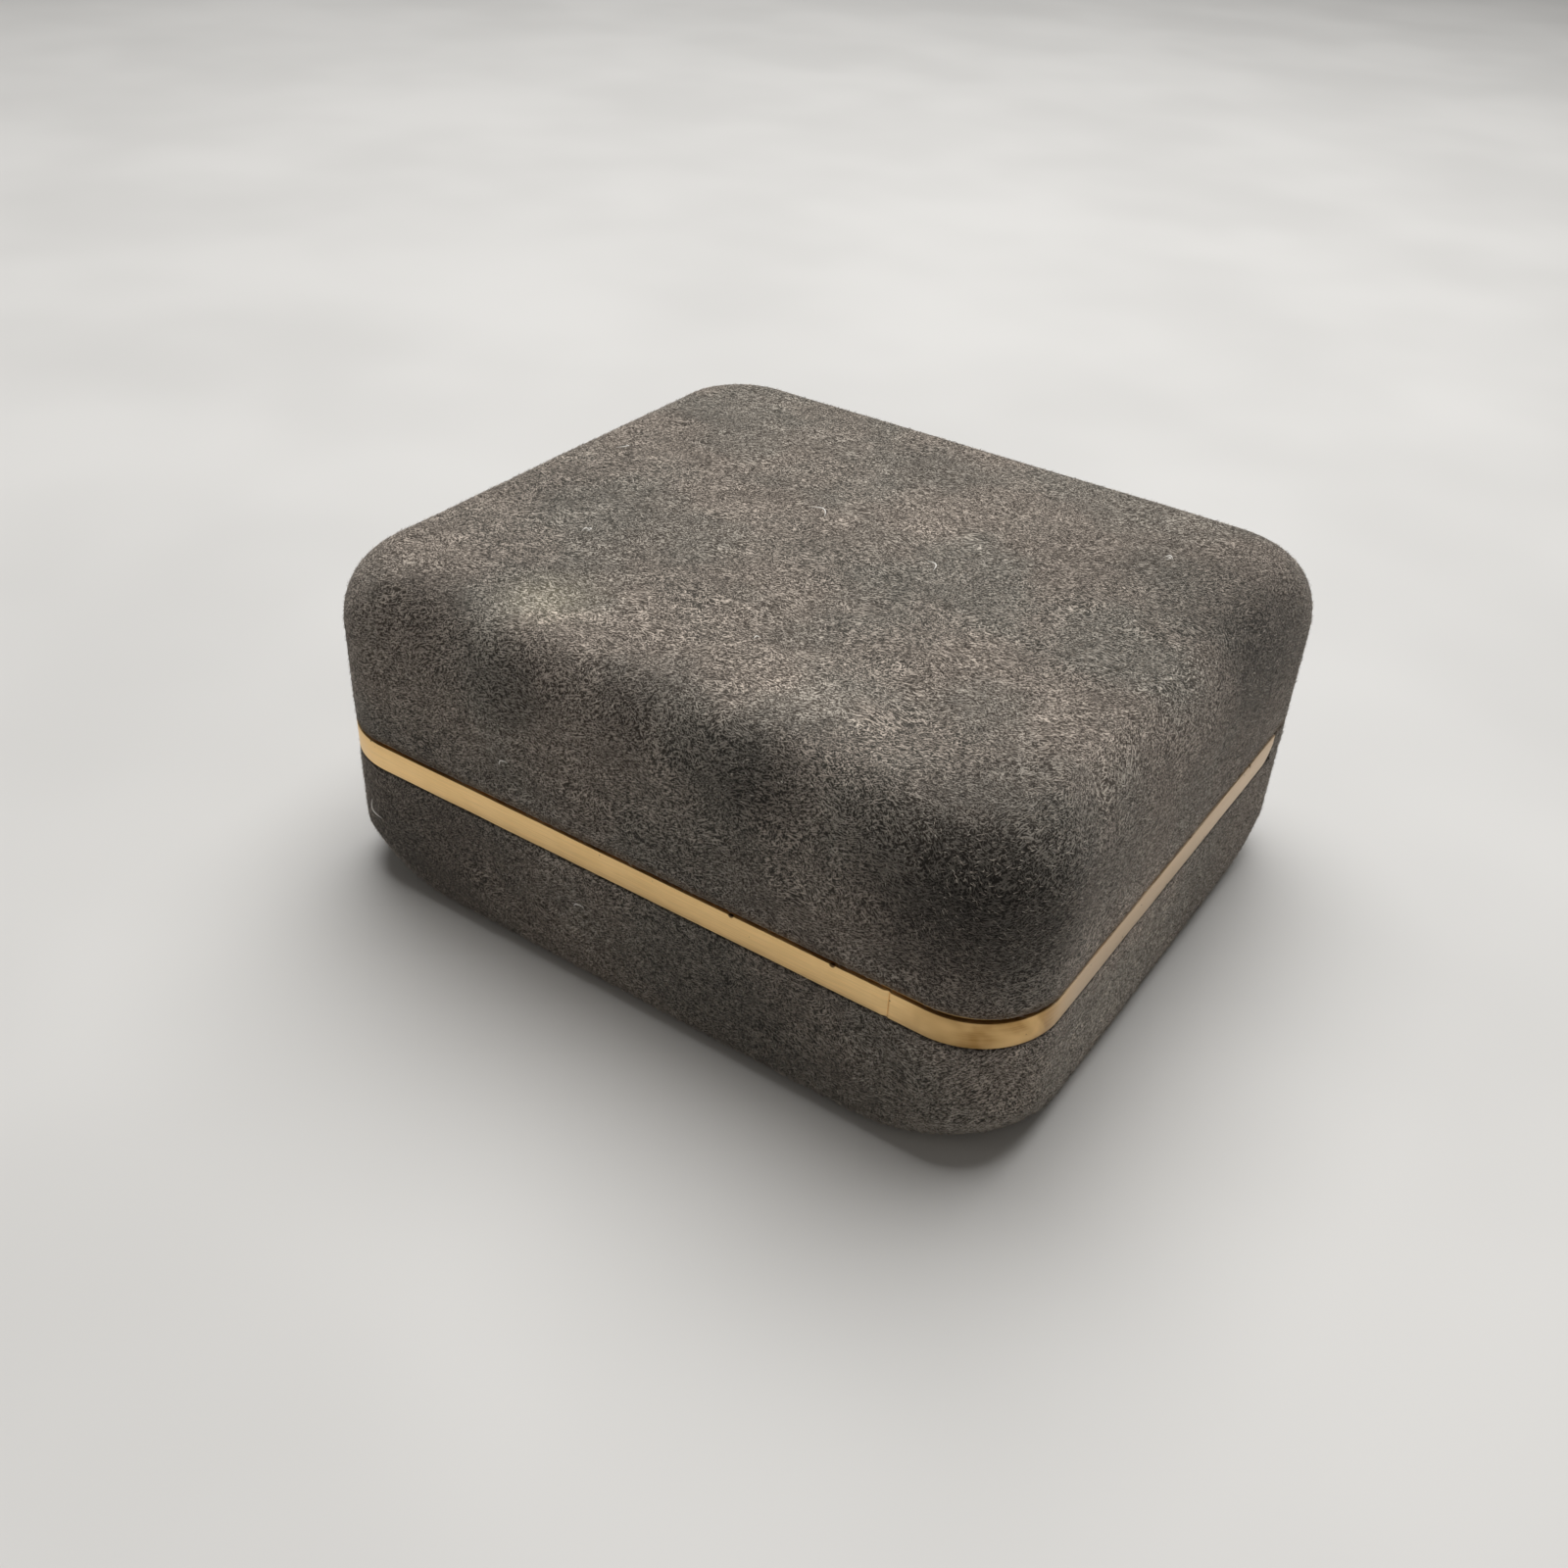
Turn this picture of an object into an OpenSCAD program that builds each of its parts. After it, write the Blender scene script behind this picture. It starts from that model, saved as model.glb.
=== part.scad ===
// A suede-covered ring box: a pressed steel base and lid joined by a snap hinge along the rear
// edge, with a gold band round the base's mouth and a padded inside. The origin is the centre of
// the underside, the front faces -Y and the lid opens upwards on the hinge at +Y.

/* [Box] */
// Width, left to right
box_w = 75; // [70:1:84]
// Depth, front to rear
box_d = 64.8; // [62:0.2:74]
// Height of the closed box
box_h = 33.6; // [32:0.2:38]
// Height of the top of the gold band
seam_z = 16.4; // [15.6:0.2:17.4]
// Radius of the upright corners
corner_r = 8; // [7:0.5:10]
// Thickness of the suede and its wadding
cover_t = 0.8; // [0.6:0.1:0.9]
// Thickness of the pressed steel
shell_t = 0.8; // [0.6:0.1:0.9]
// Thickness of the satin wall lining
lining_t = 0.5; // [0.4:0.1:0.6]

/* [Soft edges] */
// How far the lid's top edge rounds in
lid_edge_run = 4.2; // [3.5:0.1:5]
// How far down the lid's side the rounding starts
lid_edge_rise = 7.4; // [6:0.1:8]
// Plan radius of the corners on the flat of the lid
lid_top_r = 7; // [5:0.5:9]
// How far the base's bottom edge rounds in
base_edge_run = 1.4; // [1.2:0.1:3]
// How far up the base's side that rounding reaches
base_edge_rise = 5; // [4:0.1:5.4]
// Plan radius of the corners on the underside
base_bottom_r = 14; // [10:0.5:15]

/* [Band] */
// Visible height of the gold band
band_h = 2.7; // [2:0.1:3.2]
// Height of the locating lip above the seam
lip_rise = 2.6; // [1.5:0.1:3]
// Thickness of the lip
lip_t = 0.4; // [0.3:0.1:0.6]
// Where the band ends, measured back from the middle
band_end_y = 22.8; // [20:0.1:24]
// Where the butt joint in the front of the band is, right of the middle
butt_x = 26.2; // [20:0.1:27]

/* [Hinge] */
// Length of the hinge
hinge_len = 36; // [30:1:40]
// Number of knuckles
knuckles = 5; // [3:2:7]
// Outer radius of the knuckles
barrel_r = 1.25; // [1.2:0.05:1.3]
// Radius of the pin
pin_r = 0.6; // [0.5:0.05:0.65]
// Thickness of the hinge leaves
leaf_t = 0.5; // [0.4:0.05:0.5]
// Height of each leaf from the pin's centre
leaf_h = 8; // [7:0.5:9]
// Half the angle of the notch that lets the lid fall back
notch_angle = 55; // [52:1:60]

/* [Inside] */
// Length of the rolls that grip the ring
roll_len = 46; // [36:1:50]
// Depth of one roll, front to rear
roll_d = 11.6; // [9:0.2:12]
// Height of the velvet platform
platform_z = 13.2; // [12:0.2:14]
// Height of the crown of the rolls
roll_top_z = 16.1; // [15:0.1:16.2]
// Thickness of the lid's cushion
pad_t = 3.2; // [2:0.1:4]

/* [Hidden] */
$fn = 48;

corner_steps = 8;
edge_steps = 6;
slack = 1;
fit_gap = 0.06;

// Heights
cover_floor_z = 0.3;
shell_floor_z = cover_floor_z + cover_t;
tray_floor_z = shell_floor_z + shell_t;
ledge_t = 0.4;
shell_top_z = seam_z - ledge_t;
seam_gap = 0.15;
rim_t = 0.3;
rim_z = seam_z + seam_gap;
lid_edge_z = rim_z + rim_t;
lid_wall_z = box_h - lid_edge_rise;
base_wall_z = cover_floor_z + base_edge_rise;

// Depths below the outer surface
shell_in = cover_t + shell_t;
lining_in = shell_in + lining_t;
rim_leg_t = 0.36;
rim_leg_rise = 1.5;
rim_setback = 0.3;
lip_gap = 0.34;
lip_in = lining_in + rim_leg_t + lip_gap;

// Hinge
hinge_y = box_d / 2 - barrel_r;
hinge_z = seam_z + seam_gap / 2;
leaf_y = box_d / 2 - shell_in - leaf_t;
bore_r = pin_r + 0.05;
barrel_clear = barrel_r + 0.3;
apex_relief_r = 0.6;
knuckle_pitch = hinge_len / knuckles;
knuckle_gap = 0.2;
zone_len = hinge_len + 0.8;
cam_len = 2.1;
cam_t = 0.5;
rivet_r = 0.7;
rivet_head_r = 1.2;
rivet_head_t = 0.45;
rivet_hole_r = rivet_r + 0.05;
rivet_drop = 5.6;
rivet_xs = [-14.4, -7.2, 7.2, 14.4];

// Inside
insert_in = lining_in + 0.2;
velvet_t = 0.6;
board_t = 1;
insert_rear_y = box_d / 2 - 5.45;
insert_front_y = -(box_d / 2 - insert_in);
insert_mid_y = (insert_front_y + insert_rear_y) / 2;
window_d = 2 * roll_d + 1;
roll_floor_z = 7.2;
roll_round_r = 4;
roll_gap = 0.4;
foam_margin = 2;
pad_board_z = 28.4;
pad_board_t = 0.8;
pad_in = 2.8;
panel_in = 4.4;
panel_r = 11;

// Outline of the box in plan, drawn in by inset, as points running anticlockwise
function corner_points(x, y, r, start) = [
    for (i = [0:corner_steps])
        let (a = start + 90 * i / corner_steps) [x + r * cos(a), y + r * sin(a)]
];
function outline(inset, r) =
    let (x = box_w / 2 - inset - r, y = box_d / 2 - inset - r)
    concat(
        corner_points(x, y, r, 0),
        corner_points(-x, y, r, 90),
        corner_points(-x, -y, r, 180),
        corner_points(x, -y, r, 270)
    );

// A level is [height, inset, plan radius] of the surface lying depth below the outside
function lid_level(depth, a) = [
    lid_wall_z + (lid_edge_rise - depth) * sin(a),
    depth + (lid_edge_run - depth) * (1 - cos(a)),
    corner_r + (lid_top_r - corner_r) * sin(a) - depth * cos(a)
];
function base_level(depth, a) = [
    base_wall_z - (base_edge_rise - depth) * sin(a),
    depth + (base_edge_run - depth) * (1 - cos(a)),
    corner_r + (base_bottom_r - corner_r) * sin(a) - depth * cos(a)
];
function wall_level(depth, z) = [z, depth, corner_r - depth];
function lid_levels_up(depth, z, top_angle) = concat(
    [wall_level(depth, z)],
    [for (i = [0:edge_steps]) lid_level(depth, top_angle * i / edge_steps)]
);
function base_levels_up(depth, z) = concat(
    [for (i = [edge_steps:-1:0]) base_level(depth, 90 * i / edge_steps)],
    [wall_level(depth, z)]
);
function reversed(list) = [for (i = [len(list) - 1:-1:0]) list[i]];

// Skin through the outlines of all levels. It is capped at both ends, or closed on itself.
module loft(levels, closed = false) {
    n = 4 * (corner_steps + 1);
    count = len(levels);
    points = [for (level = levels) each [for (p = outline(level[1], level[2])) [p[0], p[1], level[0]]]];
    bands = closed ? count : count - 1;
    sides = [
        for (k = [0:bands - 1]) for (i = [0:n - 1])
            let (a = k * n, b = ((k + 1) % count) * n, j = (i + 1) % n)
            each [[a + i, b + i, b + j], [a + i, b + j, a + j]]
    ];
    caps = closed ? [] : [
        [for (i = [0:n - 1]) i],
        [for (i = [n - 1:-1:0]) (count - 1) * n + i]
    ];
    polyhedron(points, concat(sides, caps), convexity = 6);
}

// Flat outline of the box drawn in by inset, with true round corners
module plan(inset, r = corner_r) {
    round_r = r - min(inset, r - 1);
    w = box_w - 2 * inset;
    d = box_d - 2 * inset;
    square([w - 2 * round_r, d], center = true);
    square([w, d - 2 * round_r], center = true);
    for (sx = [-1, 1]) for (sy = [-1, 1])
        translate([sx * (w / 2 - round_r), sy * (d / 2 - round_r)]) circle(round_r);
}

// Upright wall between two depths
module wall(outer_in, inner_in, z0, z1) {
    translate([0, 0, z0]) linear_extrude(z1 - z0) difference() {
        plan(outer_in);
        plan(inner_in);
    }
}

// Everything in front of the band's square-cut ends
module front_part(z0, z1) {
    translate([-box_w, -box_d, z0]) cube([2 * box_w, box_d + band_end_y, z1 - z0]);
}

// Bar along X at the hinge, such as a pin or a bore
module hinge_bar(r, length, x = 0) {
    translate([x, hinge_y, hinge_z]) rotate([0, 90, 0]) cylinder(h = length, r = r, center = true);
}

// Room for the folding lid: a notch along the rear edge, above or below the hinge line
module rear_notch(side) {
    depth = barrel_r + slack;
    rise = depth * tan(notch_angle);
    translate([-box_w / 2, hinge_y, hinge_z]) rotate([90, 0, 90]) linear_extrude(box_w)
        polygon([[0, 0], [depth, 0], [depth, side * rise]]);
    hinge_bar(apex_relief_r, box_w);
    hinge_bar(barrel_clear, zone_len);
}

// Box over the hinge's length, from depth inwards, for what the leaf displaces
module hinge_zone(z0, z1) {
    translate([-zone_len / 2, leaf_y - slack, z0]) cube([zone_len, 3 * slack, z1 - z0]);
}

// Rivets or their holes, at the drop below (side -1) or above (side 1) the hinge line
module rivet_bars(side, r, y0, y1) {
    for (x = rivet_xs)
        translate([x, y0, hinge_z + side * rivet_drop]) rotate([-90, 0, 0]) cylinder(h = y1 - y0, r = r);
}

module rivets(side) {
    rivet_bars(side, rivet_r, leaf_y, leaf_y + leaf_t + shell_t);
    for (x = rivet_xs)
        translate([x, leaf_y, hinge_z + side * rivet_drop]) rotate([90, 0, 0])
            cylinder(h = rivet_head_t, r1 = rivet_head_r, r2 = rivet_head_r - rivet_head_t);
}

// Hinge leaf with the knuckles whose number leaves the given remainder. side is -1 below, 1 above.
module leaf(side, remainder) {
    tall = leaf_h - barrel_clear;
    difference() {
        union() {
            translate([-hinge_len / 2, leaf_y, hinge_z + (side > 0 ? barrel_clear : -leaf_h)])
                cube([hinge_len, leaf_t, tall]);
            for (k = [0:knuckles - 1]) if (k % 2 == remainder) {
                x = -hinge_len / 2 + (k + 0.5) * knuckle_pitch;
                length = knuckle_pitch - knuckle_gap;
                hinge_bar(barrel_r, length, x);
                translate([x - length / 2, leaf_y, hinge_z + (side > 0 ? 0 : -barrel_clear)])
                    cube([length, leaf_t, barrel_clear]);
                if (side > 0)
                    translate([x - length / 2, hinge_y - cam_len, hinge_z - cam_t / 2])
                        cube([length, cam_len, cam_t]);
            }
        }
        hinge_bar(bore_r, hinge_len + slack);
        rivet_bars(side, rivet_hole_r, leaf_y - slack, leaf_y + 2 * slack);
    }
}

// Cushion roll with a rounded top, lying along X and centred on y
module roll(y) {
    h = roll_top_z - roll_floor_z;
    translate([-roll_len / 2 + 0.3, y, roll_floor_z]) rotate([90, 0, 90]) linear_extrude(roll_len - 0.6) {
        translate([-roll_d / 2, 0]) square([roll_d, h - roll_round_r]);
        translate([-roll_d / 2 + roll_round_r, 0]) square([roll_d - 2 * roll_round_r, h]);
        for (side = [-1, 1])
            translate([side * (roll_d / 2 - roll_round_r), h - roll_round_r]) circle(roll_round_r);
    }
}

// Plate of the insert between two heights, drawn in by margin, with the window for the rolls
module insert_plate(margin, z0, z1, window_margin) {
    translate([0, 0, z0]) linear_extrude(z1 - z0) difference() {
        intersection() {
            plan(insert_in + margin);
            translate([-box_w / 2, -box_d / 2]) square([box_w, box_d / 2 + insert_rear_y - margin]);
        }
        window(window_margin);
    }
}

module window(margin) {
    translate([0, insert_mid_y]) square([roll_len + 2 * margin, window_d + 2 * margin], center = true);
}

module base_shell() {
    color("silver") difference() {
        loft(concat(base_levels_up(cover_t, shell_top_z), reversed(base_levels_up(shell_in, shell_top_z))));
        rear_notch(-1);
        rivet_bars(-1, rivet_hole_r, leaf_y, box_d / 2 - cover_t + 0.1);
    }
}

module base_cover() {
    color("#4c4846") difference() {
        union() {
            loft(concat(base_levels_up(0, seam_z), reversed(base_levels_up(cover_t, seam_z))));
            wall(cover_t - 0.1, lining_in, shell_top_z, seam_z);
        }
        front_part(seam_z - band_h, seam_z + slack);
        translate([0, 0, -slack]) linear_extrude(shell_floor_z + slack) plan(panel_in - 0.2, panel_r + panel_in);
        rear_notch(-1);
    }
}

module bottom_panel() {
    color("#3e3a38") linear_extrude(shell_floor_z) plan(panel_in, panel_r + panel_in);
}

module trim_band() {
    lip_top_z = seam_z + lip_rise;
    color("gold") difference() {
        intersection() {
            union() {
                wall(0, cover_t, seam_z - band_h, seam_z);
                wall(0, lip_in + lip_t, shell_top_z, seam_z);
                wall(lip_in, lip_in + lip_t, shell_top_z, lip_top_z);
            }
            front_part(seam_z - band_h - slack, lip_top_z + slack);
        }
        translate([butt_x, -box_d / 2 - slack, seam_z - band_h - slack])
            cube([0.12, slack + cover_t / 2, band_h + 2 * slack]);
    }
}

module base_lining() {
    color("ivory") difference() {
        wall(shell_in + fit_gap, lining_in, base_wall_z + 1, shell_top_z);
        hinge_zone(hinge_z - leaf_h - 0.4, seam_z);
        rear_notch(-1);
    }
}

module insert_board() {
    top_z = platform_z - velvet_t;
    color("tan") {
        difference() {
            insert_plate(velvet_t, base_wall_z + fit_gap, top_z, 0);
            translate([0, 0, -board_t]) insert_plate(velvet_t + board_t, base_wall_z, top_z, board_t);
        }
        translate([0, 0, tray_floor_z]) linear_extrude(top_z - tray_floor_z) difference() {
            window(board_t);
            window(0);
        }
    }
}

module insert_cover() {
    color("#b9b0a4") difference() {
        insert_plate(0, platform_z - 4, platform_z, 0);
        translate([0, 0, -velvet_t]) insert_plate(velvet_t, platform_z - 5, platform_z, -slack);
    }
}

module foam_block() {
    block = [roll_len - 2 * foam_margin, window_d - 2 * foam_margin, roll_floor_z - tray_floor_z];
    color("wheat") translate([-block[0] / 2, insert_mid_y - block[1] / 2, tray_floor_z]) cube(block);
}

module ring_roll_front() {
    color("#c8beb1") roll(insert_mid_y - roll_d / 2 - roll_gap / 2);
}

module ring_roll_rear() {
    color("#c8beb1") roll(insert_mid_y + roll_d / 2 + roll_gap / 2);
}

module hinge_base_leaf() {
    color("darkgoldenrod") leaf(-1, 0);
}

module hinge_lid_leaf() {
    color("goldenrod") leaf(1, 1);
}

module hinge_pin() {
    color("dimgray") hinge_bar(pin_r, hinge_len);
}

// Bowed leaf spring: it stands on the base leaf's foot and bears up under the lid's cams
module snap_spring() {
    thick = 0.3;
    width = 24;
    foot_z = hinge_z - leaf_h + 0.4;
    tip = [hinge_y - cam_len + 0.5, hinge_z - cam_t / 2 - 0.25];
    foot = [leaf_y - thick, foot_z];
    bow = 1.3;
    steps = 14;
    line = [for (i = [0:steps]) let (s = i / steps) [
        foot[0] + (tip[0] - foot[0]) * s - bow * sin(180 * s),
        foot[1] + (tip[1] - foot[1]) * s
    ]];
    color("lightsteelblue") translate([-width / 2, 0, 0]) rotate([90, 0, 90]) linear_extrude(width)
        polygon(concat(line, reversed([for (p = line) [p[0] + thick, p[1]]])));
}

module base_rivets() {
    color("darkgoldenrod") rivets(-1);
}

module lid_rivets() {
    color("goldenrod") rivets(1);
}

module lid_shell() {
    color("silver") difference() {
        loft(concat(reversed(lid_levels_up(shell_in, lid_edge_z, 90)), lid_levels_up(cover_t, lid_edge_z, 90)));
        rear_notch(1);
        rivet_bars(1, rivet_hole_r, leaf_y, box_d / 2 - cover_t + 0.1);
    }
}

module lid_cover() {
    color("#565250") difference() {
        loft(concat(reversed(lid_levels_up(cover_t, lid_edge_z, 90)), lid_levels_up(0, lid_edge_z, 90)));
        rear_notch(1);
    }
}

module lid_rim() {
    color("#b08d4f") difference() {
        union() {
            wall(rim_setback, lining_in + rim_leg_t, rim_z, lid_edge_z);
            wall(lining_in + fit_gap, lining_in + rim_leg_t, rim_z, lid_edge_z + rim_leg_rise);
        }
        hinge_zone(rim_z - slack, lid_edge_z + rim_leg_rise + slack);
        rear_notch(1);
    }
}

module lid_lining() {
    top_angle = 25;
    color("ivory") difference() {
        loft(concat(
            reversed(lid_levels_up(lining_in, lid_edge_z, top_angle)),
            lid_levels_up(shell_in + fit_gap, lid_edge_z, top_angle)
        ), closed = true);
        hinge_zone(hinge_z, hinge_z + leaf_h + 0.4);
        rear_notch(1);
    }
}

module lid_wadding() {
    z0 = pad_board_z + pad_board_t;
    color("whitesmoke") translate([0, 0, z0]) linear_extrude(box_h - shell_in - z0) plan(6);
}

module lid_pad_board() {
    color("tan") translate([0, 0, pad_board_z]) linear_extrude(pad_board_t) plan(pad_in);
}

module lid_pad() {
    color("ivory") translate([0, 0, pad_board_z - pad_t]) linear_extrude(pad_t) plan(pad_in - 0.2);
}

base_shell();
base_cover();
bottom_panel();
trim_band();
base_lining();
insert_board();
insert_cover();
foam_block();
ring_roll_front();
ring_roll_rear();
hinge_base_leaf();
hinge_pin();
snap_spring();
base_rivets();
lid_shell();
lid_cover();
lid_rim();
lid_lining();
lid_wadding();
lid_pad_board();
lid_pad();
hinge_lid_leaf();
lid_rivets();
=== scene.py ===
"""Ring box: suede skins with nap, gold band, satin and velvet inside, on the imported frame.

Lengths are in millimetres until a mesh is made, which turns them into metres.
"""
import math

import bmesh
import bpy
import numpy as np
from mathutils import Matrix, Vector, noise


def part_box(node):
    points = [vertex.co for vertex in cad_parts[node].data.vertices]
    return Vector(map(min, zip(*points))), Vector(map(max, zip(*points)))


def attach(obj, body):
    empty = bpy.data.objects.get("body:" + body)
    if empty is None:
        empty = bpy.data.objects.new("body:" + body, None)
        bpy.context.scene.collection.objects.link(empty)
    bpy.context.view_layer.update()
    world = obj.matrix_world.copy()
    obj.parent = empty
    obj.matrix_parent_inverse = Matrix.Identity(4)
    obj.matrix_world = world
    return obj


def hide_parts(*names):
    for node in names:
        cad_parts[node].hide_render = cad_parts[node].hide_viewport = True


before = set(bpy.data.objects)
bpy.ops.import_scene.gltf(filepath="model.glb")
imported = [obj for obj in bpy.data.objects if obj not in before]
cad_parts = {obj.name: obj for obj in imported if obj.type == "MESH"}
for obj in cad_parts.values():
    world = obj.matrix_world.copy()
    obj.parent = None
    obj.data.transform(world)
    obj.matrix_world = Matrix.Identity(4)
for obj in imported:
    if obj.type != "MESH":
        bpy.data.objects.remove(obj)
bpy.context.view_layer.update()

MM = 0.001
random = np.random.default_rng(17)


def box_of(node):
    """Lowest and highest corner of a CAD node, in millimetres."""
    low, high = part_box(node)
    return np.array(low) / MM, np.array(high) / MM


# Sizes from the frame
lid_low, lid_high = box_of("lid_cover")
base_low, base_high = box_of("base_cover")
band_low, band_high = box_of("trim_band")
pin_low, pin_high = box_of("hinge_pin")
leaf_low, leaf_high = box_of("hinge_base_leaf")
lid_leaf_high = box_of("hinge_lid_leaf")[1]
platform_low, platform_high = box_of("insert_cover")
panel_low, panel_high = box_of("bottom_panel")
base_lining_low, base_lining_high = box_of("base_lining")
lid_lining_low, lid_lining_high = box_of("lid_lining")
pad_low, pad_high = box_of("lid_pad")

HALF_W, HALF_D, TOP = lid_high
LID_EDGE = lid_low[2]
SEAM = base_high[2]
BAND_BOTTOM, BAND_END, LIP_TOP = band_low[2], band_high[1], band_high[2]
HINGE_Y, HINGE_Z = ((pin_low + pin_high) / 2)[1:]
BARREL_CLEAR = leaf_high[1] - HINGE_Y + 0.3
ZONE_HALF = leaf_high[0] + 0.4

# Wall, edge and lining shapes, as in the CAD source; the lining starts 0.06 off the shell
CORNER_R = 8.0
COVER_T = 0.8
LINING_OUT = 1.66
LINING_IN = 2.1
LID_EDGE_RUN, LID_EDGE_RISE, LID_TOP_R = 4.2, 7.4, 7.0
BASE_EDGE_RUN, BASE_EDGE_RISE, BASE_BOTTOM_R = 1.4, 5.0, 14.0
BASE_FLOOR = base_low[2]
LID_WALL = TOP - LID_EDGE_RISE
BASE_WALL = BASE_FLOOR + BASE_EDGE_RISE
NOTCH = math.tan(math.radians(55))
LEDGE_T = 0.4
LIP_IN, LIP_T = 2.8, 0.4
PANEL_IN, PANEL_R = 4.4, 11.0

# Finer shapes that only the visual pieces have
BUTT_X, BUTT_W, BUTT_DEPTH = 26.2, 0.07, 0.16
BAND_EDGE = 0.1
BAND_TAPER, BAND_TAPER_RISE = 2.2, 1.5
LID_HEM_R, BASE_HEM_R = 0.36, 0.3
HEM_DROP, HEM_UNEVEN = 0.22, 0.12
NOTCH_START = 4.0
LID_CROWN = 0.15
LID_FIBRES, BASE_FIBRES = 46000, 34000
MIDDLE = (0, 0, 16)
# Shifts that keep the parts of the nap map apart
FLAT_SHIFT, BASE_SHIFT = 400, 80


# ---------------------------------------------------------------- meshes
def piece(name, verts, faces, body, smooth_angle=None):
    """New object from millimetre points, with outward normals, riding on a body."""
    mesh = bpy.data.meshes.new(name)
    mesh.from_pydata((np.asarray(verts) * MM).tolist(), [], [list(f) for f in faces])
    bm = bmesh.new()
    bm.from_mesh(mesh)
    bmesh.ops.recalc_face_normals(bm, faces=bm.faces)
    bm.to_mesh(mesh)
    bm.free()
    mesh.polygons.foreach_set("use_smooth", [True] * len(mesh.polygons))
    if smooth_angle is not None:
        mesh.set_sharp_from_angle(angle=math.radians(smooth_angle))
    made = bpy.data.objects.new(name, mesh)
    bpy.context.scene.collection.objects.link(made)
    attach(made, body)
    return made


def side_shares(length, breaks, spacing=0.6):
    """Places of the samples along a straight side, with a close pair at each break."""
    even = np.linspace(0, 1, max(3, round(length / spacing)))[1:-1]
    close = 0.02 / length
    pairs = [b + s for b in breaks for s in (-close, close)]
    kept = [t for t in even if all(abs(t - b) > 0.2 / length for b in breaks)]
    return np.array(sorted(kept + pairs))


LINE_X, LINE_Y = 2 * (HALF_W - CORNER_R), 2 * (HALF_D - CORNER_R)
ZONE_BREAK = (LINE_X / 2 - ZONE_HALF) / LINE_X
END_BREAK = (LINE_Y / 2 - BAND_END) / LINE_Y
SHARES = [
    side_shares(LINE_X, [ZONE_BREAK, 1 - ZONE_BREAK]),
    side_shares(LINE_Y, [END_BREAK]),
    side_shares(LINE_X, [0.5 + (BUTT_X - BUTT_W / 2) / LINE_X, 0.5 + (BUTT_X + BUTT_W / 2) / LINE_X]),
    side_shares(LINE_Y, [1 - END_BREAK]),
]


def ring(inset, r, half_w=HALF_W, half_d=HALF_D, shares=SHARES, arc_steps=24, centre=(0, 0)):
    """Points of a rounded rectangle drawn in by inset, anticlockwise from the rear of the right side."""
    x, y = half_w - inset - r, half_d - inset - r
    corners = np.array([(x, y), (-x, y), (-x, -y), (x, -y)])
    points = []
    for k in range(4):
        angles = np.radians(90 * k + np.linspace(0, 90, arc_steps + 1))
        arc = corners[k] + r * np.stack([np.cos(angles), np.sin(angles)], 1)
        after = corners[(k + 1) % 4] + r * np.array([math.cos(angles[-1]), math.sin(angles[-1])])
        points += [arc, arc[-1] + shares[k][:, None] * (after - arc[-1])]
    return np.vstack(points) + centre


def level(points, z):
    """A ring in space, at one height or at a height for each point."""
    return np.column_stack([points, np.broadcast_to(z, len(points))])


def loft_faces(count, n, closed=False):
    """Quads between levels of n points each."""
    k = np.arange(count if closed else count - 1)[:, None]
    i = np.arange(n)
    a, b = k * n, ((k + 1) % count) * n
    j = (i + 1) % n
    return np.stack([a + i, a + j, b + j, b + i], -1).reshape(-1, 4)


def fan(start, n, centre):
    return [(start + i, start + (i + 1) % n, centre) for i in range(n)]


def wavy(points, size, height, seed=0.0):
    """Height offsets of smooth random undulation at each point."""
    shift = Vector((seed, 2 * seed, -seed))
    return np.array([noise.noise(Vector(p) / size + shift) for p in points]) * height


# ---------------------------------------------------------------- suede skins
def lid_edge(points):
    """Height of the lid suede's lower edge over each point, with the notch that lets the lid fall back."""
    y = points[:, 1] - HINGE_Y
    z = np.where(y > 0, np.maximum(LID_EDGE, HINGE_Z + y * NOTCH), LID_EDGE)
    inside = (np.abs(points[:, 0]) < ZONE_HALF) & (np.abs(y) < BARREL_CLEAR)
    round_z = HINGE_Z + np.sqrt(np.clip(BARREL_CLEAR**2 - y**2, 0, None))
    return np.where(inside, np.maximum(z, round_z), z)


def base_top(points):
    """Height of the base suede's upper edge: under the band in front, at the seam behind it."""
    y = points[:, 1] - HINGE_Y
    z = np.where(points[:, 1] < BAND_END, BAND_BOTTOM, SEAM)
    z = np.where(y > 0, np.minimum(z, HINGE_Z - y * NOTCH), z)
    inside = (np.abs(points[:, 0]) < ZONE_HALF) & (np.abs(y) < BARREL_CLEAR)
    round_z = HINGE_Z - np.sqrt(np.clip(BARREL_CLEAR**2 - y**2, 0, None))
    return np.where(inside, np.minimum(z, round_z), z)


def lid_level(depth, a):
    s, c = math.sin(a), math.cos(a)
    inset = depth + (LID_EDGE_RUN - depth) * (1 - c)
    r = CORNER_R + (LID_TOP_R - CORNER_R) * s - depth * c
    return level(ring(inset, r), LID_WALL + (LID_EDGE_RISE - depth) * s)


def base_level(depth, a):
    s, c = math.sin(a), math.cos(a)
    inset = depth + (BASE_EDGE_RUN - depth) * (1 - c)
    r = CORNER_R + (BASE_BOTTOM_R - CORNER_R) * s - depth * c
    return level(ring(inset, r), BASE_WALL - (BASE_EDGE_RISE - depth) * s)


def wall_ring(depth):
    return ring(depth, CORNER_R - depth)


def between(low, high, steps):
    """Levels from one to the other, without the first."""
    return [low + (high - low) * t for t in np.linspace(0, 1, steps + 1)[1:]]


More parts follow.
